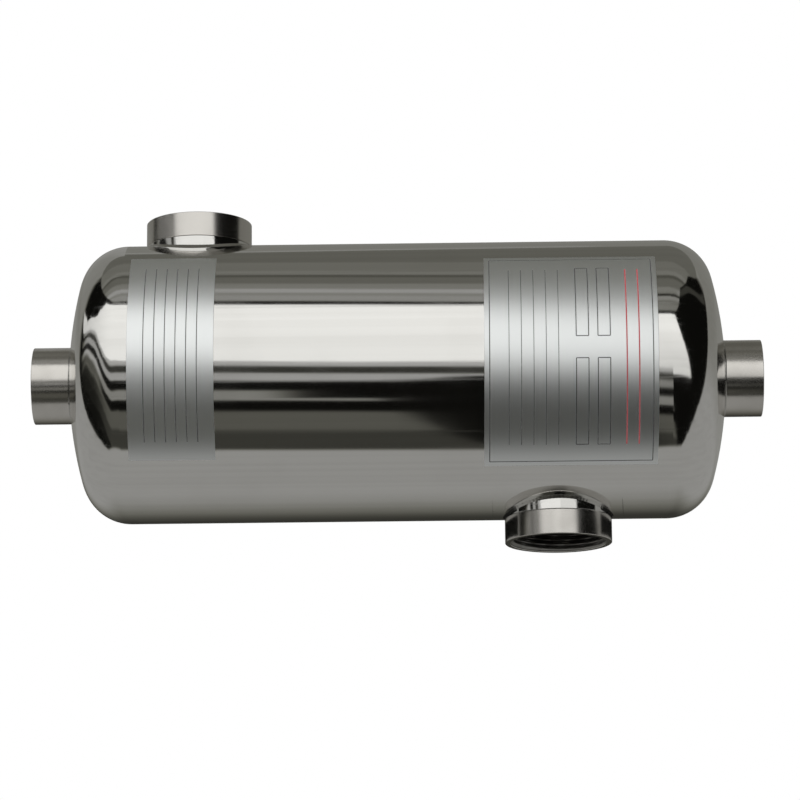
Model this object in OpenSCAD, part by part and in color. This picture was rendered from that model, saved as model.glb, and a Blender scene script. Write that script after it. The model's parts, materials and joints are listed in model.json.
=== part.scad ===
// Shell and tube heat exchanger. A polished shell has a dished head welded on each end, a
// threaded socket in the middle of each head, and two threaded sockets on collars pulled out
// of the shell, one above and one below. A bundle of straight tubes fills the shell.
// Millimetres. +X runs along the shell, +Z up through the side sockets, and the origin is
// the middle of the lower socket's mouth.

/* [Shell] */
// Outside diameter of the shell tube and of the heads
shell_od = 139.7; // [116:0.1:170]
// Wall of the shell tube and of the collars pulled out of it
shell_wall = 2; // [1.5:0.1:3]
// Length of the shell tube, from seam to seam
shell_len = 260; // [210:1:420]
// Height of a collar's edge over the crown line of the shell
collar_rise = 0.9; // [0.5:0.1:6]
// Shell left between the left seam and the upper collar
upper_port_margin = 3.4; // [2.5:0.1:40]
// Shell left between the right seam and the lower collar
lower_port_margin = 23.9; // [2.5:0.1:60]

/* [Heads] */
// Wall of a head
head_wall = 2; // [1.5:0.1:3]
// Straight flange between the seam and the knuckle
head_flange = 4; // [4:0.5:12]
// Outside radius of the crown
crown_r = 195; // [150:1:300]
// Outside radius of the knuckle
knuckle_r = 24; // [14:0.5:32]

/* [Side sockets] */
// Diameter at the bottom of the thread
side_thread_d = 47.8; // [38:0.1:58]
// Wall outside the thread
side_socket_wall = 2.7; // [2.2:0.1:5]
// Length of the socket, from its seam to its mouth
side_socket_len = 12.25; // [8:0.25:30]

/* [End sockets] */
// Diameter at the bottom of the thread
end_thread_d = 33.25; // [25:0.05:42]
// Wall outside the thread
end_socket_wall = 2.65; // [2.2:0.05:5]
// Length that stands out past the top of the crown
end_socket_reach = 18.2; // [10:0.1:40]
// Length that goes in past the top of the crown
end_socket_sink = 5; // [4:0.1:10]

/* [Tube bundle] */
// Rows of tubes, which is also the number of tubes in the middle row
tube_rows = 7; // [5:2:7]
// Outside diameter of a tube
tube_od = 12; // [8:0.1:14.5]
// Wall of a tube
tube_wall = 1; // [0.5:0.1:1.5]
// Clear ring between the outermost tubes and the shell
bundle_gap = 11; // [8:0.5:14]
// Thickness of a tube sheet
sheet_t = 6; // [4:0.5:7.5]
// Length of a tube that stands out past its sheet
tube_end = 2; // [1:0.5:6]
// Baffles along the bundle, cut away below and above by turns
baffle_count = 4; // [2:2:6]
// Thickness of a baffle
baffle_t = 2; // [1:0.5:4]

/* [Edges, welds and clearances] */
// Bevel round the mouth of a socket, outside and inside
mouth_bevel = 0.4; // [0.2:0.1:0.8]
// Bevel on each side of the seam between a collar and its socket
seam_bevel = 0.25; // [0.1:0.05:0.5]
// Leg of the weld round the root of a collar
root_weld_leg = 1; // [0.6:0.1:2.4]
// Leg of the weld round an end socket
end_weld_leg = 0.6; // [0.4:0.1:2.4]
// Thickness of an end socket's weld at its thin edge
end_weld_toe = 0.15; // [0.1:0.05:0.3]
// Gap between a weld and the walls that it joins
weld_clear = 0.05; // [0.04:0.01:0.1]
// Gap between an end socket and its hole in the head
socket_clear = 0.1; // [0.05:0.05:0.3]
// Gap between a tube and its hole in a tube sheet
sheet_hole_clear = 0.1; // [0.05:0.05:0.2]
// Gap between a tube and its hole in a baffle
baffle_hole_clear = 0.25; // [0.1:0.05:0.4]
// Gap between a tube sheet and the wall round it
sheet_edge_clear = 0.1; // [0.05:0.05:0.3]
// Gap between a baffle and the shell
baffle_edge_clear = 0.5; // [0.3:0.1:0.9]

/* [Hidden] */
$fn = 96;

// Length by which every cut runs past the face that it opens
overrun = 1;

shell_r = shell_od / 2;
shell_bore_r = shell_r - shell_wall;
seam_x = shell_len / 2;

side_thread_r = side_thread_d / 2;
side_socket_r = side_thread_r + side_socket_wall;
collar_bore_r = side_socket_r - shell_wall;
collar_top = shell_r + collar_rise;
port_reach = collar_top + side_socket_len;
upper_port_x = upper_port_margin + side_socket_r - seam_x;
lower_port_x = seam_x - lower_port_margin - side_socket_r;

end_thread_r = end_thread_d / 2;
end_socket_r = end_thread_r + end_socket_wall;

// The knuckle's arc runs on smoothly into the crown's: both centres and the point where the
// arcs meet lie on one line, which leans from the axis by crown_angle.
knuckle_ring_r = shell_r - knuckle_r;
crown_angle = asin(knuckle_ring_r / (crown_r - knuckle_r));
crown_centre = head_flange - (crown_r - knuckle_r) * cos(crown_angle);
crown_top = crown_centre + crown_r;

tube_r = tube_od / 2;
tube_hole_r = tube_r + sheet_hole_clear;
baffle_hole_r = tube_r + baffle_hole_clear;
middle_row = (tube_rows + 1) / 2;
tube_pitch = (shell_bore_r - bundle_gap - tube_r) / (middle_row - 1);
row_step = tube_pitch * sin(60);
tube_len = shell_len + sheet_t + 2 * tube_end;
// A tube sheet bridges the seam, so it fits in the shell and in the head's flange
sheet_r = shell_r - max(shell_wall, head_wall) - sheet_edge_clear;
// A baffle's straight edge lies midway between the last two rows of tubes
baffle_edge_z = (tube_z(tube_rows) + tube_z(tube_rows - 1)) / 2;

// Sides of a root weld's ring, and steps of the hollow curve across it
weld_sides = 72;
weld_steps = 4;

function tubes_in(row) = tube_rows - abs(row - middle_row);
function tube_y(row, place) = (place - (tubes_in(row) + 1) / 2) * tube_pitch;
function tube_z(row) = (row - middle_row) * row_step;
function baffle_x(place) = upper_port_x + (lower_port_x - upper_port_x) * place / (baffle_count + 1);
// Height of the crown's outside over the seam, at a distance from the head's axis
function crown_height(r) = crown_centre + sqrt(crown_r * crown_r - r * r);
// Height of the shell's outside over the shell's axis, at a distance across it
function shell_height(y) = sqrt(shell_r * shell_r - y * y);

// Puts what is drawn about the middle of the shell into the part's own frame
module from_mouth() {
  translate([-lower_port_x, 0, port_reach]) children();
}

module along_shell() {
  rotate([0, 90, 0]) children();
}

// A port's own +Z runs from the shell's axis out through the port
module at_upper_port() {
  translate([upper_port_x, 0, 0]) children();
}

module at_lower_port() {
  translate([lower_port_x, 0, 0]) rotate([180, 0, 0]) children();
}

// A seam's own +Z runs from the seam out through the head
module at_left_seam() {
  translate([-seam_x, 0, 0]) rotate([0, -90, 0]) children();
}

module at_right_seam() {
  translate([seam_x, 0, 0]) rotate([0, 90, 0]) children();
}

module at_tubes(first_row, last_row) {
  for (row = [first_row:last_row])
    for (place = [1:tubes_in(row)])
      translate([0, tube_y(row, place), tube_z(row)]) children();
}

// A collar before it is bored: a plug from the shell's axis to its bevelled edge
module collar_blank() {
  cylinder(h = collar_top - seam_bevel, r = side_socket_r);
  translate([0, 0, collar_top - seam_bevel])
    cylinder(h = seam_bevel, r1 = side_socket_r, r2 = side_socket_r - seam_bevel);
}

module collar_bore() {
  cylinder(h = collar_top + overrun, r = collar_bore_r);
}

module shell() {
  color("gainsboro") from_mouth() difference() {
    union() {
      along_shell() cylinder(h = shell_len, r = shell_r, center = true);
      at_upper_port() collar_blank();
      at_lower_port() collar_blank();
    }
    along_shell() cylinder(h = shell_len + 2 * overrun, r = shell_bore_r, center = true);
    at_upper_port() collar_bore();
    at_lower_port() collar_bore();
  }
}

// A band of one wall along an arc, between two angles from the +Y axis
module wall_band(r, wall, start, end) {
  wedge = 2 * r;
  intersection() {
    difference() {
      circle(r = r);
      circle(r = r - wall);
    }
    polygon([[0, 0], wedge * [sin(start), cos(start)], wedge * [sin(end), cos(end)]]);
  }
}

// The dished wall: flange, knuckle and crown, with the hole for the end socket
module head() {
  rotate_extrude() difference() {
    union() {
      translate([shell_r - head_wall, 0]) square([head_wall, head_flange]);
      translate([knuckle_ring_r, head_flange]) wall_band(knuckle_r, head_wall, crown_angle, 90);
      translate([0, crown_centre]) wall_band(crown_r, head_wall, 0, crown_angle);
    }
    square([end_socket_r + socket_clear, crown_top + overrun]);
  }
}

module left_head() {
  color("gainsboro") from_mouth() at_left_seam() head();
}

module right_head() {
  color("gainsboro") from_mouth() at_right_seam() head();
}

// A threaded socket from z = 0 to its mouth, bored to the bottom of the thread
module socket(bore_r, outer_r, len, base_bevel) {
  rotate_extrude() polygon([
    [bore_r, 0],
    [outer_r - base_bevel, 0],
    [outer_r, base_bevel],
    [outer_r, len - mouth_bevel],
    [outer_r - mouth_bevel, len],
    [bore_r + mouth_bevel, len],
    [bore_r, len - mouth_bevel]
  ]);
}

module end_socket() {
  translate([0, 0, crown_top - end_socket_sink])
    socket(end_thread_r, end_socket_r, end_socket_sink + end_socket_reach, mouth_bevel);
}

module left_end_socket() {
  color("silver") from_mouth() at_left_seam() end_socket();
}

module right_end_socket() {
  color("silver") from_mouth() at_right_seam() end_socket();
}

module side_socket() {
  translate([0, 0, collar_top]) socket(side_thread_r, side_socket_r, side_socket_len, seam_bevel);
}

module upper_side_socket() {
  color("silver") from_mouth() at_upper_port() side_socket();
}

module lower_side_socket() {
  color("silver") from_mouth() at_lower_port() side_socket();
}

// A point of a root weld: turn goes round the collar, out is the distance from the collar's
// wall and up the height over the shell's wall, which falls away on both sides of the crown line
function root_weld_point(turn, out, up) =
  let (r = side_socket_r + weld_clear + out)
  [r * cos(turn), r * sin(turn), shell_height(r * sin(turn)) + weld_clear + up];

// The weld that follows the saddle line where a collar leaves the shell. Its section is a
// corner closed by a hollow quarter circle, polished smooth.
module root_weld() {
  section = concat(
    [[0, 0]],
    [for (step = [0:weld_steps])
      let (t = 90 * step / weld_steps)
      root_weld_leg * [1 - sin(t), 1 - cos(t)]]
  );
  count = len(section);
  points = [for (side = [0:weld_sides - 1]) for (corner = section)
    root_weld_point(360 * side / weld_sides, corner[0], corner[1])];
  faces = [for (side = [0:weld_sides - 1]) for (k = [0:count - 1])
    let (
      here = side * count,
      ahead = ((side + 1) % weld_sides) * count,
      next = (k + 1) % count
    )
    each [
      [here + k, here + next, ahead + next],
      [here + k, ahead + next, ahead + k]
    ]];
  polyhedron(points = points, faces = faces);
}

module upper_root_weld() {
  color("lightgray") from_mouth() at_upper_port() root_weld();
}

module lower_root_weld() {
  color("lightgray") from_mouth() at_lower_port() root_weld();
}

// The weld between a head's crown and its socket, hollow like the root welds
module end_weld() {
  inner_r = end_socket_r + weld_clear;
  outer_r = inner_r + end_weld_leg;
  toe_z = crown_height(outer_r) + weld_clear + end_weld_toe;
  top_z = toe_z + end_weld_leg;
  rotate_extrude() difference() {
    polygon([
      [inner_r, crown_height(inner_r) + weld_clear],
      [outer_r, crown_height(outer_r) + weld_clear],
      [outer_r, top_z],
      [inner_r, top_z]
    ]);
    translate([outer_r, top_z]) circle(r = end_weld_leg);
  }
}

module left_end_weld() {
  color("lightgray") from_mouth() at_left_seam() end_weld();
}

module right_end_weld() {
  color("lightgray") from_mouth() at_right_seam() end_weld();
}

// A round plate across the shell with a hole for each tube, centred on the seam
module tube_sheet() {
  difference() {
    along_shell() cylinder(h = sheet_t, r = sheet_r, center = true);
    at_tubes(1, tube_rows)
      along_shell() cylinder(h = sheet_t + 2 * overrun, r = tube_hole_r, center = true);
  }
}

module left_tube_sheet() {
  color("darkgray") from_mouth() translate([-seam_x, 0, 0]) tube_sheet();
}

module right_tube_sheet() {
  color("darkgray") from_mouth() translate([seam_x, 0, 0]) tube_sheet();
}

module tube_row(row) {
  color("lightsteelblue") from_mouth() at_tubes(row, row) along_shell() difference() {
    cylinder(h = tube_len, r = tube_r, center = true);
    cylinder(h = tube_len + 2 * overrun, r = tube_r - tube_wall, center = true);
  }
}

// A baffle that stands on the top of the shell and is cut away below, for the water to pass. Where
// the tubes stand close, the holes of the row below its straight edge notch that edge.
module baffle_cut_below() {
  difference() {
    along_shell() cylinder(h = baffle_t, r = shell_bore_r - baffle_edge_clear, center = true);
    translate([-baffle_t, -shell_r, -baffle_edge_z - shell_r])
      cube([2 * baffle_t, shell_od, shell_r]);
    at_tubes(1, tube_rows)
      along_shell() cylinder(h = baffle_t + 2 * overrun, r = baffle_hole_r, center = true);
  }
}

module baffle(place) {
  turned = place % 2 == 1 ? 0 : 180;
  color("lightgray") from_mouth() translate([baffle_x(place), 0, 0])
    rotate([turned, 0, 0]) baffle_cut_below();
}

shell();
left_head();
right_head();
left_end_socket();
right_end_socket();
upper_side_socket();
lower_side_socket();
upper_root_weld();
lower_root_weld();
left_end_weld();
right_end_weld();
left_tube_sheet();
right_tube_sheet();
for (row = [1:tube_rows])
  tube_row(row);
for (place = [1:baffle_count])
  baffle(place);
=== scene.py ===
# %% [markdown]
# Looks for a polished shell and tube heat exchanger
#
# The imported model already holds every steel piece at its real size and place. This lesson adds
# what the eye looks for: threads in the four sockets, welds laid as smooth fillets, two silver
# film labels, a finish for each kind of steel, and a small studio whose reflections show how
# round the polished metal is.

# %% Load the frame
import json
import math

import bpy
import numpy as np
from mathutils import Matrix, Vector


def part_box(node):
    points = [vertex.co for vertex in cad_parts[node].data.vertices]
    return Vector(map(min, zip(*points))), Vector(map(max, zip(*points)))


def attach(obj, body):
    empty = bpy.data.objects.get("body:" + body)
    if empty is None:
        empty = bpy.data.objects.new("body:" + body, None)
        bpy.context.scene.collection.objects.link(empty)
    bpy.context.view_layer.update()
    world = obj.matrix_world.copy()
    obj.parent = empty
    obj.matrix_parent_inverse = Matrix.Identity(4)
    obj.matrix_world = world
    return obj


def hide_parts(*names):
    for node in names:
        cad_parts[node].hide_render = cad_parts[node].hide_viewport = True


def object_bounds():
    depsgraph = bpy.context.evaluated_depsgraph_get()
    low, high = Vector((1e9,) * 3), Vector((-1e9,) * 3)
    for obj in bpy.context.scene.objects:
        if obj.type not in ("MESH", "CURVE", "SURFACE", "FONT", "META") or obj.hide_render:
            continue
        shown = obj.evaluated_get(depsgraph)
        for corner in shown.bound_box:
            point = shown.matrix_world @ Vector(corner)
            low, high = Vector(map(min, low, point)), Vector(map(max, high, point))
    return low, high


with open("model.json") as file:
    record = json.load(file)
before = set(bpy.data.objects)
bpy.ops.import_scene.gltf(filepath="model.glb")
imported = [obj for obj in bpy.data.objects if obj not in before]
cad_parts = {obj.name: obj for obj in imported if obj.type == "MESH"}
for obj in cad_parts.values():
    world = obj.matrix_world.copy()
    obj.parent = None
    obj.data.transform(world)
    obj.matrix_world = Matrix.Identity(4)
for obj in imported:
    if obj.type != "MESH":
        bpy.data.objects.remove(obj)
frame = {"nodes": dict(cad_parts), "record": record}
cad_low, cad_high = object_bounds()
print("frame nodes:", len(frame["nodes"]))

# %% [markdown]
# Measuring the exchanger
#
# A fitter would put a tape on the real thing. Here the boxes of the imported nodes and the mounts
# in the record give the same sizes, so nothing in this file has to repeat the drawing. The shell
# lies along X, and its axis runs through the middle of both heads.

# %% Sizes from the frame
def corners(node):
    """Lowest corner, highest corner and middle of a node's box, as arrays in metres."""
    low, high = (np.array(corner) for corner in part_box(node))
    return low, high, (low + high) / 2


_, shell_high, _ = corners("shell")
_, _, head_middle = corners("left_head")
shell_r = shell_high[1]
axis_z = head_middle[2]
thread_r = {
    mount["name"]: mount["dims"]["r_mm"] / 1000
    for mount in frame["record"]["mounts"]
    if mount["kind"] == "threaded_hole"
}
print("shell radius %.2f mm, axis %.2f mm above the lower mouth" % (shell_r * 1000, axis_z * 1000))

# %% [markdown]
# The camera
#
# The photograph was taken with a long lens from a little below the level of the shell, so the
# lower socket shows its open mouth. The angles and the distance below come from fitting the
# outline of the shell, the heads and the sockets to that picture. A Track To constraint would aim
# the camera too, but it can't hold the slight roll. So the camera's three axes are built from the
# angles and written into its matrix.

# %% Camera axes
camera_target = np.array([-0.0783, 0, 0.07393])
camera_distance = 1.759
camera_pitch, camera_yaw, camera_roll = np.radians([-13.19, 0.708, -0.49])

back = np.array([
    math.sin(camera_yaw) * math.cos(camera_pitch),
    -math.cos(camera_yaw) * math.cos(camera_pitch),
    math.sin(camera_pitch),
])
level_right = np.cross(-back, [0, 0, 1])
level_right /= np.linalg.norm(level_right)
level_up = np.cross(level_right, -back)
right = math.cos(camera_roll) * level_right + math.sin(camera_roll) * level_up
up = math.cos(camera_roll) * level_up - math.sin(camera_roll) * level_right
camera_place = camera_target + camera_distance * back
print("camera stands at", np.round(camera_place, 3))

# %% Camera
focal_length_mm = 157.6
sensor_width_mm = 36

camera_matrix = np.eye(4)
camera_matrix[:3, :3] = np.stack([right, up, back], axis=1)
camera_matrix[:3, 3] = camera_place
lens = bpy.data.cameras.new("camera")
lens.lens = focal_length_mm
lens.sensor_width = sensor_width_mm
camera = bpy.data.objects.new("camera", lens)
bpy.context.scene.collection.objects.link(camera)
camera.matrix_world = camera_matrix.T.tolist()
bpy.context.scene.camera = camera
print("lens %.1f mm on a sensor %d mm wide" % (lens.lens, lens.sensor_width))

# %% [markdown]
# Surfaces from two parameters
#
# Every new piece is a grid of points: one parameter runs along the rows, the other along the
# columns. Quads join neighbouring points, and a side of the grid can be wrapped round to meet its
# other side, which closes a ring without a seam. A closed ring encloses a volume, and the sign of
# that volume tells whether the faces point outwards, so the maker turns them over when they don't.

# %% Grid helpers
def grid_quads(rows, columns, wrap_rows, wrap_columns):
    """Four point numbers for each cell of a grid whose sides may be wrapped round."""
    numbers = np.arange(rows * columns).reshape(rows, columns)
    if wrap_rows:
        numbers = np.vstack([numbers, numbers[:1]])
    if wrap_columns:
        numbers = np.hstack([numbers, numbers[:, :1]])
    cells = [numbers[:-1, :-1], numbers[:-1, 1:], numbers[1:, 1:], numbers[1:, :-1]]
    return np.stack(cells, axis=-1).reshape(-1, 4)


def volume_of(points, quads):
    """Signed volume: a sixth of the sum of corner . (corner x corner) over both halves of each quad."""
    a, b, c, d = (points[quads[:, k]] for k in range(4))
    return (np.sum(a * np.cross(b, c)) + np.sum(a * np.cross(c, d))) / 6


# %% Surface maker
def surface(name, points, wrap_rows=False, wrap_columns=False, uv=None, crease_deg=40):
    """Object from a grid of points (rows, columns, 3), smooth but for edges sharper than crease_deg."""
    rows, columns = points.shape[:2]
    quads = grid_quads(rows, columns, wrap_rows, wrap_columns)
    flat = points.reshape(-1, 3)
    if wrap_rows and wrap_columns and volume_of(flat, quads) < 0:
        quads = quads[:, ::-1]
    mesh = bpy.data.meshes.new(name)
    mesh.from_pydata(flat, [], quads)
    if uv is not None:
        layer = mesh.uv_layers.new(name="UVMap")
        layer.data.foreach_set("uv", uv.reshape(-1, 2)[quads.ravel()].astype(np.float32).ravel())
    mesh.shade_smooth()
    mesh.set_sharp_from_angle(angle=math.radians(crease_deg))
    piece = bpy.data.objects.new(name, mesh)
    bpy.context.scene.collection.objects.link(piece)
    print("%s: %d points, %d quads" % (name, len(flat), len(quads)))
    return piece


# %% [markdown]
# Finishes written as formulas
#
# A finish is a small tree of nodes, which could be wired by hand in the Shader Editor. To keep it
# readable here, one class stands for a socket, and its operators add Math nodes, so a mask reads
# like a sum on paper. Every other node comes from one method, which takes the node's kind, its
# settings, and then the values or links of its sockets. Each tree prints its size when it is done.

# %% Sockets that add up
class Shade:
    """A socket of a node tree. Arithmetic on it adds Math nodes and gives their result."""

    def __init__(self, tree, socket):
        self.tree = tree
        self.socket = socket

    def output(self, name):
        """Another output of the same node."""
        return Shade(self.tree, self.socket.node.outputs[name])

    def math(self, operation, *values):
        """Result of a Math node on the values."""
        return self.tree.node("Math", {"operation": operation}, dict(enumerate(values)))

    def __add__(self, other):
        return self.math("ADD", self, other)

    def __radd__(self, other):
        return self.math("ADD", other, self)

    def __sub__(self, other):
        return self.math("SUBTRACT", self, other)

    def __rsub__(self, other):
        return self.math("SUBTRACT", other, self)

    def __mul__(self, other):
        return self.math("MULTIPLY", self, other)

    def __rmul__(self, other):
        return self.math("MULTIPLY", other, self)

    def __truediv__(self, other):
        return self.math("DIVIDE", self, other)

    def __pow__(self, other):
        return self.math("POWER", self, other)

    def __abs__(self):
        return self.math("ABSOLUTE", self)

    def larger(self, other):
        """The larger of this and another value."""
        return self.math("MAXIMUM", self, other)

    def step(self, low, high):
        """0 up to low, 1 from high on, and a smooth rise between them."""
        settings = {"interpolation_type": "SMOOTHSTEP"}
        return self.tree.node("MapRange", settings, {"Value": self, "From Min": low, "From Max": high})


# %% Trees
class Tree:
    """A node tree being written, of a material or of the world."""

    def __init__(self, owner):
        owner.use_nodes = True
        self.name = owner.name
        self.nodes = owner.node_tree.nodes
        self.links = owner.node_tree.links
        self.nodes.clear()

    def node(self, kind, settings=None, inputs=None, output=0):
        """Adds a node: settings first, then the values or links of its sockets."""
        made = self.nodes.new("ShaderNode" + kind)
        for name, value in (settings or {}).items():
            setattr(made, name, value)
        for name, value in (inputs or {}).items():
            if isinstance(value, Shade):
                self.links.new(value.socket, made.inputs[name])
            else:
                made.inputs[name].default_value = value
        return Shade(self, made.outputs[output]) if made.outputs else None

    def place(self, kind="Object"):
        """Where a point lies: on the object, in metres, or on its UV map."""
        return self.node("TexCoord", output=kind)

    def mix(self, share, first, second):
        """Colour between first and second. A Mix node's colours are its sockets 6 and 7, and output 2."""
        return self.node("Mix", {"data_type": "RGBA"}, {0: share, 6: first, 7: second}, output=2)

    def noise(self, vector, scale, detail):
        """Value of a noise about 0.5, at a number of grains to the metre."""
        return self.node("TexNoise", {}, {"Vector": vector, "Scale": scale, "Detail": detail})

    def stretched(self, vector, factors):
        """Vector with each of its parts multiplied."""
        return self.node("VectorMath", {"operation": "MULTIPLY"}, {0: vector, 1: factors})

    def bump(self, height, depth, normal=None):
        """Normal of a surface on which height 1 stands depth metres proud."""
        inputs = {"Strength": 1.0, "Distance": depth, "Height": height}
        if normal is not None:
            inputs["Normal"] = normal
        return self.node("Bump", {}, inputs)

    def close(self, shader, output="OutputMaterial"):
        """Joins the shader to the output and prints how large the tree is."""
        self.node(output, {}, {"Surface": shader})
        print("%s: %d nodes" % (self.name, len(self.nodes)))


# %% Materials
def new_finish(name):
    """A material and the tree to write it in."""
    material = bpy.data.materials.new(name)
    return material, Tree(material)


def steel(tree, **inputs):
    """Bare metal shader joined to the output. Its inputs are given by their names with underscores."""
    named = {name.replace("_", " "): value for name, value in inputs.items()}
    tree.close(tree.node("BsdfPrincipled", {}, {"Metallic": 1.0, **named}))


def dress(node, finish):
    """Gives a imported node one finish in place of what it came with."""
    materials = frame["nodes"][node].data.materials
    materials.clear()
    materials.append(finish)
    print(node, "wears", finish.name)


# %% [markdown]
# Mirror polish on the shell
#
# The shell and the heads are buffed until they reflect like a mirror. A buffed tube is never quite
# perfect: long faint lines run the way the buff moved, the wall is a little wavy, and hands leave
# soft smudges. Scratches could be painted on an image, but a stretched noise has no seams and no
# end. Lines and waves are bump, smudges are roughness with a faint tint, and the colour stays that
# of bare stainless steel, which is a warm light grey.

# %% Polished steel
steel_colour = (0.765, 0.76, 0.742, 1)
smudged_colour = (0.705, 0.699, 0.68, 1)
buffing_stretch = (4.0, 1400.0, 1400.0)
wave_stretch = (9.0, 34.0, 34.0)
buffing_depth = 0.0000012
wave_depth = 0.00006


def polished_steel():
    """Mirror polish: waves about 30 mm across, buffing lines along X, a few scratches and smudges."""
    material, tree = new_finish("polished_steel")
    place = tree.place()
    along_buff = tree.stretched(place, buffing_stretch)
    smudge = tree.noise(place, 28.0, 3.0).step(0.45, 0.8)
    lines = tree.noise(along_buff, 1.0, 2.0)
    streaks = tree.noise(along_buff, 0.22, 3.0).step(0.35, 0.75)
    scratch = tree.noise(along_buff, 0.35, 0.0).step(0.70, 0.74)
    waves = tree.noise(tree.stretched(place, wave_stretch), 1.0, 1.0)
    wavy = tree.bump(waves, wave_depth)
    steel(
        tree,
        Base_Color=tree.mix(0.4 * smudge + 0.6 * streaks, steel_colour, smudged_colour),
        Roughness=0.075 + 0.03 * smudge + 0.05 * scratch,
        Normal=tree.bump(lines, buffing_depth, wavy),
    )
    return material


shell_finish = polished_steel()
for node in ("shell", "left_head", "right_head"):
    dress(node, shell_finish)

# %% [markdown]
# Turned steel on the sockets
#
# The sockets are short pieces turned on a lathe. The tool leaves fine grooves round the socket, so
# reflections smear along its axis. An anisotropic shader would smear them too, but grooves of bump
# can be baked into a texture. A noise with short steps along the axis and long ones round it gives
# those grooves. Inside, the cut thread is rougher, with an oily mottle, and its darker colour is
# painted shade of the bore.

# %% Turned steel
turned_colour = (0.665, 0.645, 0.615, 1)
turned_dull = (0.61, 0.59, 0.56, 1)
groove_depth = 0.000004
fine, coarse = 2400.0, 150.0


def turned_steel(name, factors):
    """Satin turned steel whose grooves are fine along the axis with the largest factor."""
    material, tree = new_finish(name)
    place = tree.place()
    grooves = tree.noise(tree.stretched(place, factors), 1.0, 2.0)
    smudge = tree.noise(place, 60.0, 3.0).step(0.4, 0.75)
    steel(
        tree,
        Base_Color=tree.mix(smudge, turned_colour, turned_dull),
        Roughness=0.19 + 0.06 * smudge,
        Normal=tree.bump(grooves, groove_depth),
    )
    return material


side_socket_finish = turned_steel("turned_steel_side", (coarse, coarse, fine))
end_socket_finish = turned_steel("turned_steel_end", (fine, coarse, coarse))

# %% Cut thread steel, darkened with painted shade
# Both bore colours are dark as painted shade of the deep bore; the oily tone varies at random.
bore_colour_painted_shade = (0.34, 0.335, 0.32, 1)
oily_bore_colour_painted_shade = (0.22, 0.215, 0.20, 1)
torn_depth = 0.00001


def thread_steel_painted_shade():
    """Steel as the thread cutter leaves it, with torn grain and oily mottling; its dark colour is painted
    shade of the bore.
    """
    material, tree = new_finish("thread_steel_painted_shade")
    place = tree.place()
    grain = tree.noise(place, 1200.0, 3.0)
    oil = tree.noise(place, 90.0, 2.0).step(0.35, 0.65)
    steel(
        tree,
        Base_Color=tree.mix(oil, bore_colour_painted_shade, oily_bore_colour_painted_shade),
        Roughness=0.28 + 0.10 * grain,
        Normal=tree.bump(grain, torn_depth),
    )
    return material


thread_finish_painted_shade = thread_steel_painted_shade()

# %% [markdown]
# Sockets with real threads
#
# Inside each socket a pipe thread is cut, 11 turns to the inch. A Screw modifier could wind one,
# but it would have to be joined to the bore. A thread is a ridge that climbs by one pitch in a
# turn, so the bore's radius is a function of the angle and the height, and the whole socket is one
# closed grid: the section's outline round one way, the angle round the other.

# %% Thread and section
thread_pitch = 0.0254 / 11
thread_depth = 0.00148
mouth_bevel = 0.00022
seam_bevel = 0.00025
socket_angles = 192
points_per_turn = 14


def thread_ridge(turns):
    """Height of the ridge from 0 to 1: a triangle wave with a sixth cut from its top and its root."""
    wave = 1 - np.abs(2 * (turns % 1) - 1)
    return np.clip((wave - 1 / 6) * 1.5, 0, 1)


def socket_section(length, outer_r, bore_r, base_bevel):
    """Outline of the wall: radius and height of each point, and 1 for the points of the cut bore."""
    outside = np.array([
        (bore_r + base_bevel, 0),
        (outer_r - base_bevel, 0),
        (outer_r, base_bevel),
        (outer_r, length / 2),
        (outer_r, length - mouth_bevel),
        (outer_r - mouth_bevel, length),
        (bore_r + mouth_bevel, length),
    ])
    bore_points = int(length / thread_pitch * points_per_turn)
    bore_heights = np.linspace(length - mouth_bevel, base_bevel, bore_points)
    radius = np.concatenate([outside[:, 0], np.full(bore_points, bore_r)])
    height = np.concatenate([outside[:, 1], bore_heights])
    cut = np.concatenate([np.zeros(len(outside)), np.ones(bore_points)])
    return radius, height, cut


# %% Threaded sockets
def socket_grid(base, axis, section):
    """Closed grid of a socket: the section carried round the axis. In the bore the radius shrinks by
    the ridge at height / pitch - angle / turn, which grows from nothing over the first turn."""
    radius, height, cut = section
    angle = np.linspace(0, 2 * math.pi, socket_angles, endpoint=False)
    start = np.clip((height.max() - mouth_bevel - height) / thread_pitch, 0, 1)
    ridge = thread_ridge(height[:, None] / thread_pitch - angle[None, :] / (2 * math.pi))
    r = radius[:, None] - thread_depth * ridge * (cut * start)[:, None]
    side = np.roll(axis, 1)
    third = np.cross(axis, side)
    around = np.cos(angle)[:, None] * side + np.sin(angle)[:, None] * third
    return base + height[:, None, None] * axis + r[:, :, None] * around


def make_socket(node, axis, finish, base_bevel):
    """Socket with a thread in place of a plain node. The axis points out through its mouth."""
    low, high, middle = corners(node)
    axis = np.array(axis, float)
    length = abs((high - low) @ axis)
    outer_r = (high - low)[1] / 2
    section = socket_section(length, outer_r, thread_r[node], base_bevel)
    points = socket_grid(middle - axis * length / 2, axis, section)
    piece = surface("threaded_" + node, points, wrap_rows=True, wrap_columns=True, crease_deg=25)
    piece.data.materials.append(finish)
    # The cut bore wears the thread finish, whose dark colour is painted shade.
    piece.data.materials.append(thread_finish_painted_shade)
    _, _, cut = section
    piece.data.polygons.foreach_set("material_index", np.repeat(cut, socket_angles).astype(np.int32))
    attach(piece, "root")
    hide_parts(node)


make_socket("upper_side_socket", (0, 0, 1), side_socket_finish, seam_bevel)
make_socket("lower_side_socket", (0, 0, -1), side_socket_finish, seam_bevel)
make_socket("left_end_socket", (-1, 0, 0), end_socket_finish, mouth_bevel)
make_socket("right_end_socket", (1, 0, 0), end_socket_finish, mouth_bevel)

# %% [markdown]
# Weld steel
#
# A weld is steel that has melted and set again. It is buffed like the wall, but stays a little
# duller and keeps small pits. A Voronoi texture gives the pits: close to each of its points the
# colour darkens and the surface sinks.

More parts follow.
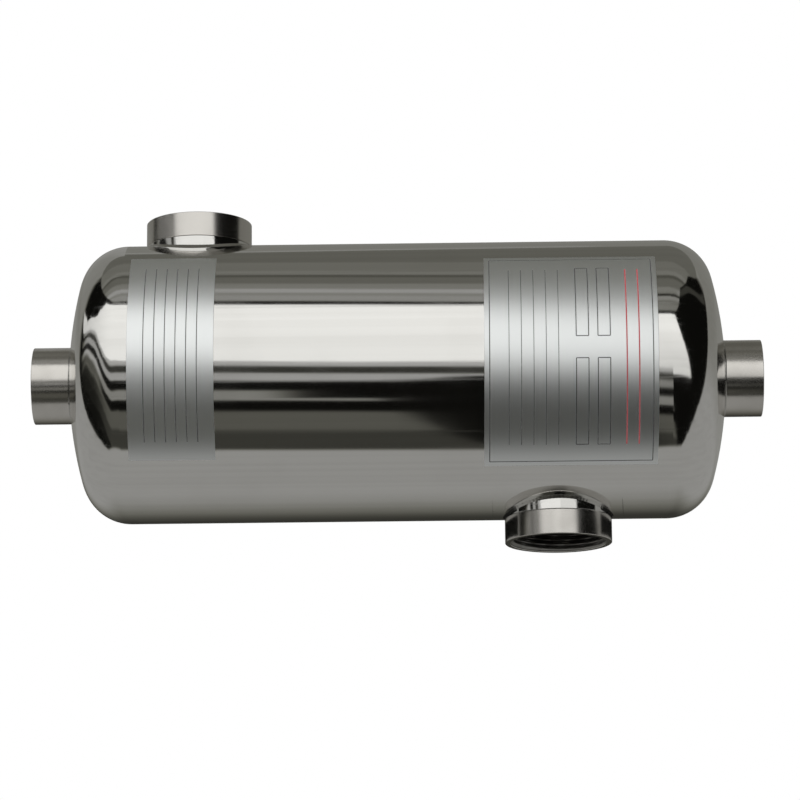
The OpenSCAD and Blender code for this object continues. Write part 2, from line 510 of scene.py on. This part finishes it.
# %% Weld steel
weld_colour = (0.55, 0.54, 0.515, 1)
pit_colour = (0.36, 0.35, 0.335, 1)
pits_per_metre = 420.0
pit_depth = 0.00003


def weld_steel():
    """Buffed weld: a little duller than the wall, with small pits."""
    material, tree = new_finish("weld_steel")
    place = tree.place()
    to_pit = tree.node("TexVoronoi", {"feature": "F1"}, {"Vector": place, "Scale": pits_per_metre})
    raised = to_pit.step(0.10, 0.35)
    grain = tree.noise(place, 900.0, 3.0)
    steel(
        tree,
        Base_Color=tree.mix(raised, pit_colour, weld_colour),
        Roughness=0.16 + 0.12 * grain,
        Normal=tree.bump(raised + 0.2 * grain, pit_depth),
    )
    return material


weld_finish = weld_steel()
for node in ("left_end_weld", "right_end_weld"):
    dress(node, weld_finish)

# %% [markdown]
# Root welds
#
# A weld closes the corner where a collar leaves the round shell, and it is buffed to a hollow
# fillet. The corner runs along a saddle line: level at the front and back of the collar, lower at
# its sides where the shell falls away. A Bevel modifier would need the two pieces joined, and here
# they stay apart. So the fillet is a quarter of a circle carried along that line.

# %% Root welds
weld_turns = 360
arc_points = 9
weld_sink = 0.15
ripple_count, ripple_share = 96, 0.05
sway_count, sway_share = 7, 0.04


def root_weld_grid(port_x, collar_r, weld_leg, upwards):
    """Fillet round a collar. At each angle the section is a corner closed by a hollow quarter circle,
    and it stands on the shell's height at that point, the root of shell_r squared less y squared."""
    angle = np.linspace(0, 2 * math.pi, weld_turns, endpoint=False)[:, None]
    arc = np.radians(np.linspace(0, 90, arc_points))
    out = np.concatenate([[-weld_sink], 1 - np.sin(arc), [1.0]])[None, :]
    rise = np.concatenate([[-weld_sink], 1 - np.cos(arc), [-weld_sink]])[None, :]
    ripple = ripple_share * np.sin(ripple_count * angle)
    sway = sway_share * np.sin(sway_count * angle + 1)
    leg = weld_leg * (1 + ripple + sway)
    radius = collar_r + leg * out
    across = radius * np.sin(angle)
    x = port_x + radius * np.cos(angle)
    height = np.sqrt(shell_r**2 - across**2) + leg * rise
    return np.stack([x, across, axis_z + upwards * height], axis=-1)


def make_root_weld(node, socket, upwards):
    """Smooth fillet in place of a plain weld node, round the collar that carries the socket."""
    low, high, middle = corners(socket)
    collar_r = (high - low)[1] / 2
    weld_low, weld_high, _ = corners(node)
    weld_leg = (weld_high - weld_low)[0] / 2 - collar_r
    points = root_weld_grid(middle[0], collar_r, weld_leg, upwards)
    piece = surface("smooth_" + node, points, wrap_rows=True, wrap_columns=True, crease_deg=60)
    piece.data.materials.append(weld_finish)
    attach(piece, "root")
    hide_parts(node)


make_root_weld("upper_root_weld", "upper_side_socket", 1)
make_root_weld("lower_root_weld", "lower_side_socket", -1)

# %% [markdown]
# The tube bundle
#
# Through the sockets one can look at the tubes, the sheets that hold them and the baffles. Tubes
# are drawn through a die, so their lines run lengthwise. Plates are rolled, with a mottled skin.
# One function serves both, because only the stretch of the grain and the tints differ.

# %% Inner steel
tube_stretch = (20.0, 900.0, 900.0)
tube_tints = (0.62, 0.61, 0.59, 1), (0.52, 0.51, 0.48, 1)
plate_stretch = (400.0, 400.0, 400.0)
plate_tints = (0.57, 0.56, 0.54, 1), (0.46, 0.45, 0.43, 1)
grain_depth = 0.00002


def inner_steel(name, factors, tints):
    """Unpolished steel: grain that is drawn out by the factors, and two mottled tints."""
    material, tree = new_finish(name)
    place = tree.place()
    grain = tree.noise(tree.stretched(place, factors), 1.0, 3.0)
    mottle = tree.noise(place, 45.0, 4.0).step(0.35, 0.7)
    steel(
        tree,
        Base_Color=tree.mix(mottle, *tints),
        Roughness=0.3 + 0.15 * grain,
        Normal=tree.bump(grain, grain_depth),
    )
    return material


tube_finish = inner_steel("tube_steel", tube_stretch, tube_tints)
plate_finish = inner_steel("plate_steel", plate_stretch, plate_tints)
for node in frame["nodes"]:
    if node.startswith("tube_row"):
        dress(node, tube_finish)
    elif node.startswith("baffle") or node.endswith("tube_sheet"):
        dress(node, plate_finish)

# %% [markdown]
# Printed lines
#
# The labels carry thin ruled lines and empty fields. An image could hold them, but a line can also
# be worked out for every point of the film: how far is it from the nearest stroke? Where that is
# less than half the pen's width, there is ink. Such lines stay crisp at any distance.

# %% Pen strokes
box_corner = 0.0003
box_pen = 0.0004
line_end_soft = 0.0002


def stripe(value, low, high, soft=1.0):
    """1 between low and high, with soft edges."""
    half = soft / 2
    return value.step(low - half, low + half) * (1 - value.step(high - half, high + half))


def box_distance(x, y, box):
    """Distance from the line of a rounded box: the length of what lies past its inner box, less the
    corner."""
    left, low, right, high = box
    past_x = abs(x - (left + right) / 2) - ((right - left) / 2 - box_corner)
    past_y = abs(y - (low + high) / 2) - ((high - low) / 2 - box_corner)
    past_x = past_x.larger(0.0)
    past_y = past_y.larger(0.0)
    return (past_x * past_x + past_y * past_y) ** 0.5 - box_corner


def drawn_box(x, y, box):
    """1 on the outline of a rounded box."""
    return 1 - abs(box_distance(x, y, box)).step(box_pen * 0.4, box_pen * 0.7)


def ruled_lines(x, y, first, last, pitch, low, high, pen):
    """1 on evenly spaced lines from first to last, each running from low to high."""
    to_line = abs(x.math("WRAP", x - first, -pitch / 2, pitch / 2))
    rows = stripe(x, first - pitch / 2, last + pitch / 2, line_end_soft)
    return stripe(y, low, high, line_end_soft) * rows * (1 - to_line.step(pen * 0.35, pen * 0.65))


def any_of(masks):
    """1 where any of the masks is 1, and 0 if there are none."""
    joined = 0.0
    for mask in masks:
        joined = mask.larger(joined)
    return joined


# %% [markdown]
# Silver film
#
# The labels are a satin silver film with a fine grain, stuck on with a few flat bubbles. The ink
# is not metal, so the Metallic input falls where there is ink. The UV map is in metres, which lets
# the strokes be given at their real size.

# %% Label film
film_colour = (0.94, 0.965, 0.97, 1)
film_grain_colour = (0.90, 0.925, 0.935, 1)
ink_colour = (0.03, 0.03, 0.033, 1)
red_ink = (0.52, 0.045, 0.06, 1)
bubble_depth = 0.00002


def label_film(name, rules, boxes, red_rules):
    """Satin silver film with generic blank fields. The UV map is in metres from the film's corner."""
    material, tree = new_finish(name)
    place = tree.place("UV")
    x = tree.node("SeparateXYZ", {}, {0: place})
    y = x.output("Y")
    strokes = [ruled_lines(x, y, **rule) for rule in rules]
    ink = any_of(strokes + [drawn_box(x, y, box) for box in boxes])
    red = any_of([ruled_lines(x, y, **rule) for rule in red_rules])
    grain = tree.noise(place, 3500.0, 2.0)
    bubbles = tree.noise(place, 70.0, 2.0)
    silver = tree.mix(grain, film_colour, film_grain_colour)
    steel(
        tree,
        Base_Color=tree.mix(red, tree.mix(ink, silver, ink_colour), red_ink),
        Metallic=1 - 0.95 * ink.larger(red),
        Roughness=0.36 + 0.04 * grain,
        Normal=tree.bump(bubbles, bubble_depth),
    )
    return material


# %% [markdown]
# Film labels
#
# Two thin films are stuck on the front of the shell. A Shrinkwrap modifier could press a plane on
# it, but the shell is a true cylinder, so a film is a sheet wrapped on it by formula: one parameter
# runs along the shell, the other round it. Solidify gives it thickness.

# %% Label sheets
film_lift = 0.00002
film_thickness = 0.00012
film_edge = 0.00015
film_columns, film_rows = 24, 140


def with_edges(low, high, count, edge):
    """Even steps from low to high, with one more close to each end that keeps the film's edge crisp."""
    return np.concatenate([[low], np.linspace(low + edge, high - edge, count), [high]])


def label_grid(span, arc_deg, lean):
    """Sheet on the shell: points at radius shell_r at an angle from -Y upwards, along X over the span,
    with the top pushed to the right by the lean."""
    low, high = np.radians(arc_deg)
    x = with_edges(*span, film_columns, film_edge)[None, :]
    angle = with_edges(low, high, film_rows, film_edge / shell_r)[:, None]
    r = shell_r + film_lift
    pushed = x + lean * (angle - low) / (high - low)
    place = np.broadcast_arrays(pushed, -r * np.cos(angle), axis_z + r * np.sin(angle))
    flat = np.broadcast_arrays(x - span[0], (angle - low) * shell_r)
    return np.stack(place, axis=-1), np.stack(flat, axis=-1)


def make_label(name, span, arc_deg, lean, film):
    """A film label between two places along the shell and two angles on its front."""
    points, uv = label_grid(span, arc_deg, lean)
    piece = surface(name, points, uv=uv)
    solid = piece.modifiers.new("thickness", "SOLIDIFY")
    solid.thickness = film_thickness
    solid.offset = 1
    piece.data.materials.append(film)
    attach(piece, "root")


# %% Right label
right_span = -0.0370, 0.0474
right_arc_deg = -49.6, 46.6
right_lean = 0.0010
right_width = right_span[1] - right_span[0]
right_length = math.radians(right_arc_deg[1] - right_arc_deg[0]) * shell_r
border = 0.0026
field_width = 0.006
field_lefts = 0.0445, 0.0550
field_heights = (0.012, 0.055), (0.066, 0.107)

blank_fields = [
    (left, low, left + field_width, high) for left in field_lefts for low, high in field_heights
]
right_film = label_film(
    "right_label_film",
    rules=[dict(first=0.012, last=0.036, pitch=0.006, low=0.012, high=0.106, pen=0.0003)],
    boxes=[(border, border, right_width - border, right_length - border), *blank_fields],
    red_rules=[dict(first=0.069, last=0.075, pitch=0.006, low=0.012, high=0.106, pen=0.0006)],
)
make_label("right_label", right_span, right_arc_deg, right_lean, right_film)

# %% Left label
left_span = -0.2098, -0.1676
left_arc_deg = -45, 49.6

left_film = label_film(
    "left_label_film",
    rules=[dict(first=0.008, last=0.034, pitch=0.0052, low=0.010, high=0.105, pen=0.0004)],
    boxes=[],
    red_rules=[],
)
make_label("left_label", left_span, left_arc_deg, 0, left_film)

# %% [markdown]
# The studio
#
# Mirror metal has hardly any look of its own: it shows the room. Lamps alone would leave it black
# with a few hot spots. So the room here is a light tent, a long bowl that stands on the floor
# round the exchanger, with panels of different brightness. Only reflections see it. The floor and
# the background stay plain and pale.

# %% Tent shape
floor_z = -0.42
tent_reach = 1.2
tent_half = 0.25
tent_gap = 0.006
tent_lean_deg = 3.4
straight_points, turn_points = 9, 37
low_elevations = np.linspace(-90, -20, 47)
high_elevations = np.linspace(-19, 90, 60)
tent_depth = axis_z - floor_z - tent_gap
tent_middle_x = (cad_low[0] + cad_high[0]) / 2


def tent_grid():
    """Bowl round the shell: from a point of the axis, a ray at azimuth and elevation runs to the
    tent's reach, or only down to the floor. Azimuth 0 is the front, 90 the right. Gives points and
    both angles, with the elevations leaning a little from one end to the other."""
    straight = np.linspace(-1, 1, straight_points)
    turn = np.linspace(0, 180, turn_points)
    front, rear = np.zeros(straight_points), np.full(straight_points, 180.0)
    one_end = np.ones(turn_points)
    azimuth = np.concatenate([front, turn, rear, turn - 180])
    shift = np.concatenate([straight, one_end, -straight, -one_end])
    azimuth, elevation = np.meshgrid(azimuth, np.concatenate([low_elevations, high_elevations]))
    a, e = np.radians(azimuth), np.radians(elevation)
    reach = np.minimum(tent_reach, tent_depth / np.maximum(-np.sin(e), 0.001))
    x = tent_middle_x + shift * tent_half + reach * np.cos(e) * np.sin(a)
    y = -reach * np.cos(e) * np.cos(a)
    z = axis_z + reach * np.sin(e)
    leaning = elevation + tent_lean_deg * shift
    return np.stack([x, y, z], axis=-1), np.stack([azimuth, leaning], axis=-1)


# %% [markdown]
# Panels of the tent
#
# A mirror turns each direction it looks in into one place of its picture. So the panels are drawn
# by direction, with azimuth and elevation in degrees taken from the bowl's UV map, and each panel
# is a product of soft steps. Their places and levels were set until the bands on the shell and the
# heads agreed with the photograph. Separate lit boards would do as well, but one formula is easier
# to tune. In what follows, left grows from 0 to 1 towards the left head, and right_end does so
# behind the right label.

# %% Tent window
window_hem = 51.3
end_drop = 8


def sill_height(azimuth, along, left):
    """Where the white panel begins: higher to the left, with a dip and a rise at the far left, and
    lower past the right head."""
    far_left = 10 * (1 - azimuth.step(-125, -105)) - 6 * (1 - azimuth.step(-110, -75))
    return 3 + 24 * left + far_left - 9 * along.step(0.12, 0.29)


def window_panel(tree, azimuth, elevation, left, right_end, sill):
    """White panel in front, from the sill up to a hem. To the left it dims, and the hem drops under
    a dark drape with a ragged edge. On the right its edge curves down and its hem hangs lower."""
    angles = tree.node("CombineXYZ", {}, {0: azimuth, 1: elevation})
    ragged = tree.noise(angles, 0.14, 3.0) - 0.5
    drape = 16 * (1 - azimuth.step(-76, -42)) + 6 * (1 - azimuth.step(-96, -76))
    hem = window_hem - drape + 8 * ragged * left - end_drop * right_end
    right_edge = 42 * (1 - elevation.step(-12, 62))
    sides = azimuth.step(-122, -110) * (1 - azimuth.step(right_edge - 1, right_edge + 1))
    glow = 1 + 0.06 * elevation.step(12, 40)
    end_shade = 1 - 0.2 * right_end * (1 - elevation.step(2, 30))
    left_shade = 0.70 + 0.30 * azimuth.step(-100, -15)
    return stripe(elevation, sill, hem, 0.8) * sides * glow * end_shade * left_shade


# %% Tent rails
# Rails that run the whole way: lower edge and upper edge from the sill, softness, level
whole_rails = [
    (-69, -51, 1.0, 0.042),
    (-51, -36.3, 3.0, 0.10),
    (-28, -26.2, 1.0, 0.24),
    (-6.5, -1.0, 1.0, 0.03),
    (-1.0, 3.3, 1.0, 0.44),
]


def rail_panel(along, azimuth, elevation, left, right_end, sill):
    """Dark low wall with pale rails that climb and close up to the left, and a black wedge that
    widens to the right and ends before the right head."""
    far_left = 1 - azimuth.step(-96, -60)
    low = (elevation - sill) / (1 - 0.3 * left - 0.3 * far_left) + 3
    width = along.step(-0.085, 0.06)
    wedge = stripe(low, -21 - 42 * width * width, -19 + 11 * width)
    wedge = wedge * width.step(0, 0.1) * (1 - right_end)
    covered = along.step(-0.125, -0.085) * (1 - right_end)
    rails = 0.25 * stripe(low, -26.2, -20.2, 2.0) * (1 - covered)
    rails = rails + 0.39 * stripe(low, -12.6, -6.5) * (1 - 0.3 * right_end)
    rails = rails + 0.16 * stripe(low, -38, -20, 3.0) * (1 - azimuth.step(-52, -36))
    rails = rails + 0.025 * stripe(low, -90, -20, 6.0) * left
    for begins, ends, soft, shade in whole_rails:
        rails = rails + shade * stripe(low, begins, ends, soft)
    faded = 0.14 + 0.36 * low.step(-44, -38) + 0.50 * low.step(-27, -24)
    right_stop = (1 - azimuth.step(5, 13)) * (1 - along.step(0.215, 0.262))
    return rails * (1 - wedge) * (1 - left + faded * left) * azimuth.step(-112, -86) * right_stop


# %% Tent ceiling
# Boards overhead: the roll angle at which each begins, and its level
ceiling_boards = [
    (54.3, 0.29),
    (60, 0.23),
    (63, 0.36),
    (67, 0.21),
    (73, 0.135),
    (80.5, 0.08),
    (83.5, 0.20),
    (88, 0.165),
    (101, 0.13),
]


def hem_height(azimuth, right_end):
    """Where the ceiling begins: a little higher to the left, much higher on the right, and lower at
    the right end of the front."""
    past_front = azimuth.step(8, 40)
    right_side = past_front * (1 - azimuth.step(92, 120))
    left_side = 1 - azimuth.step(-60, -20)
    return 54 + 3 * left_side + 14 * right_side - end_drop * right_end * (1 - past_front)


def ceiling_panel(elevation, roll, right_end, hem):
    """Boards that run straight along the shell. At the right end the first ones hang lower, with a
    dark groove."""
    lower = roll + end_drop * right_end * (1 - roll.step(46, 90))
    level = 0
    before = 0
    for begins, shade in ceiling_boards:
        level = level + (shade - before) * lower.step(begins - 0.8, begins + 0.8)
        before = shade
    groove = 0.75 * stripe(roll, 60, 62.5) + 0.3 * (1 - roll.step(58, 66))
    return level * (1 - right_end * groove) * elevation.step(hem - 0.6, hem + 0.6)


# %% Tent ground and rear
def ground_edge(azimuth, right_end):
    """Height at which the pale ground gives way to the panels: low in front, climbing on both sides."""
    left_rise = 90 * (1 - azimuth.step(-146, -35))
    right_rise = 118 * azimuth.step(15, 142) + 3 * right_end
    return left_rise + right_rise - 66.8


def ground_panel(elevation, behind):
    """Pale ground, dimmer further up, with a band of dusk behind the exchanger."""
    dusk = behind * elevation.step(-76, -12) * (1 - elevation.step(0, 12))
    return (0.33 - 0.12 * elevation.step(-5, 25)) * (1 - 0.9 * dusk)


def rear_panel(azimuth, elevation, behind, hem):
    """Grey wall round the rear, up to the hem."""
    rear_side = abs(azimuth).step(112, 124)
    return (0.24 + 0.05 * behind) * rear_side * (1 - elevation.step(hem - 0.6, hem + 0.6))


def arch_panel(azimuth, elevation):
    """Faint arch high on the right, which comes down towards the rear."""
    past_arch = elevation - 63 + 22 * azimuth.step(60, 115)
    return 0.04 * stripe(azimuth, 20, 112, 10.0) * stripe(past_arch, -3.2, 3.2, 2.0)


# %% Tent light
dark_level = 0.004
olive = (1, 0.985, 0.84, 1)
warm_white = (1, 0.997, 0.975, 1)


def tent_light():
    """Light of the tent: its panels by azimuth and elevation, olive where it is dark."""
    material, tree = new_finish("tent_light")
    azimuth = tree.node("SeparateXYZ", {}, {0: tree.place("UV")})
    elevation = azimuth.output("Y")
    x = tree.node("SeparateXYZ", {}, {0: tree.place()})
    along = x - tent_middle_x
    lean = tent_lean_deg * (2 * along.step(-tent_half, tent_half) - 1)
    roll = x.math("ARCTAN2", x.output("Z") - axis_z, 0 - x.output("Y")) * math.degrees(1) + lean
    left = 1 - azimuth.step(-68, -14)
    right_end = along.step(0.135, 0.17)
    behind = abs(azimuth).step(152, 180)
    sill = sill_height(azimuth, along, left)
    hem = hem_height(azimuth, right_end)
    edge = ground_edge(azimuth, right_end)
    beyond = 1 - elevation.step(edge - 1.5, edge + 1.5)
    panels = window_panel(tree, azimuth, elevation, left, right_end, sill)
    panels = panels + rail_panel(along, azimuth, elevation, left, right_end, sill)
    panels = panels + rear_panel(azimuth, elevation, behind, hem) + arch_panel(azimuth, elevation)
    panels = panels + ceiling_panel(elevation, roll, right_end, hem)
    level = dark_level + ground_panel(elevation, behind) * beyond + panels * (1 - beyond)
    tint = tree.mix(level.step(0.04, 0.4), olive, warm_white)
    light = tree.node("VectorMath", {"operation": "SCALE"}, {0: tint, "Scale": level})
    tree.close(tree.node("Emission", {}, {"Color": light}))
    return material


# %% Light tent
def only_reflected(prop):
    """Hides a studio prop from the camera, from diffuse light and from shadows."""
    prop.visible_camera = False
    prop.visible_diffuse = False
    prop.visible_shadow = False


tent_points, tent_angles = tent_grid()
tent = surface("light_tent", tent_points, wrap_columns=True, uv=tent_angles)
tent.data.materials.append(tent_light())
only_reflected(tent)

# %% [markdown]
# Dark cards
#
# Photographers put black cards beside shiny metal to give its sides a dark edge. The lower socket's
# sides are dark because they mirror the shade under the shell, and here two small black cards paint
# that shade. The tent could be darkened for it, but then the shell would darken too. So the cards
# stand right beside the socket. They are edge-on to the camera, which keeps them out of the shell's
# mirror but for a faint line.

# %% Dark cards
card_offset = 0.0325
card_low = 0.003
card_gap = 0.001
card_front, card_rear = -0.015, 0.028
card_rows, card_columns = 6, 40
# The cards' black is painted shade: it stands for the shade under the shell in the socket's reflection.
painted_shade_cloth_colour = (0.03, 0.03, 0.028, 1)


def side_card_grid(middle_x):
    """Upright card beside the lower socket, from card_low up to the shell's underside, edge-on to the
    camera: x moves along the ray from the camera through the card's middle."""
    y = np.linspace(card_front, card_rear, card_columns)[None, :]
    share = np.linspace(0, 1, card_rows)[:, None]
    slope = (middle_x - camera_place[0]) / -camera_place[1]
    top = axis_z - np.sqrt(shell_r**2 - y**2) - card_gap
    x = middle_x + slope * y
    return np.stack(np.broadcast_arrays(x, y, card_low + share * (top - card_low)), axis=-1)


def painted_shade_cloth():
    """Matt black cloth of the cards, which paints the shade under the shell."""
    material, tree = new_finish("painted_shade_cloth")
    tree.close(tree.node("BsdfDiffuse", {}, {"Color": painted_shade_cloth_colour}))
    return material


painted_shade_cloth_finish = painted_shade_cloth()
for name, middle_x in (("left_dark_card", -card_offset), ("right_dark_card", card_offset)):
    card = surface(name, side_card_grid(middle_x))
    card.data.materials.append(painted_shade_cloth_finish)
    only_reflected(card)

# %% [markdown]
# The floor
#
# The floor is a pale disc well below the exchanger, and it takes the soft shadow. A plane with an
# edge would draw a horizon. So the paint turns clear towards the rim, where a Mix Shader hands
# over to the background.

# %% Floor
floor_reach = 4.0
floor_middle = 0.001
floor_rings, floor_angles = 8, 96
fade_from, fade_to = 1.0, 3.6
floor_colour = (0.86, 0.86, 0.85, 1)


def floor_grid():
    """Level disc: rings of growing radius, with a pinhole in the middle."""
    angle = np.linspace(0, 2 * math.pi, floor_angles, endpoint=False)[None, :]
    radius = np.linspace(floor_middle, floor_reach, floor_rings)[:, None]
    return np.stack(np.broadcast_arrays(radius * np.cos(angle), radius * np.sin(angle), floor_z), axis=-1)


def floor_paint():
    """Pale paint that fades out to the background towards the rim."""
    material, tree = new_finish("floor_paint")
    distance = tree.node("VectorMath", {"operation": "LENGTH"}, {0: tree.place()}, output="Value")
    paint = tree.node("BsdfDiffuse", {}, {"Color": floor_colour})
    clear = tree.node("BsdfTransparent")
    tree.close(tree.node("MixShader", {}, {0: distance.step(fade_from, fade_to), 1: paint, 2: clear}))
    return material


floor = surface("floor", floor_grid(), wrap_columns=True)
floor.data.materials.append(floor_paint())

# %% [markdown]
# Background and lamp
#
# The background is white to the camera and to reflections, and dimmer as a light, so that the pale
# floor doesn't clip. A Light Path node tells the two apart. One soft lamp above and in front
# throws the shadow. The metal doesn't see the lamp itself, because the tent already lights it.

# %% World
room_strength = 0.42
white = (1, 1, 1, 1)

world = bpy.data.worlds.new("pale_room")
bpy.context.scene.world = world
room = Tree(world)
path = room.node("LightPath")
seen = path.output("Is Camera Ray") + path.output("Is Glossy Ray") + path.output("Is Transmission Ray")
strength = room_strength + (1 - room_strength) * seen.math("MINIMUM", seen, 1.0)
room.close(room.node("Background", {}, {"Color": white, "Strength": strength}), "OutputWorld")

# %% Lamp
lamp_size = 0.5
lamp_watts = 32
lamp_place = (-0.4, -0.5, 2.0)

lamp_data = bpy.data.lights.new("lamp", "AREA")
lamp_data.shape = "DISK"
lamp_data.size = lamp_size
lamp_data.energy = lamp_watts
lamp = bpy.data.objects.new("lamp", lamp_data)
bpy.context.scene.collection.objects.link(lamp)
lamp.location = lamp_place
lamp.visible_glossy = False
bpy.context.scene.view_settings.view_transform = "Standard"
print("lamp of %d W at" % lamp_watts, lamp_place)
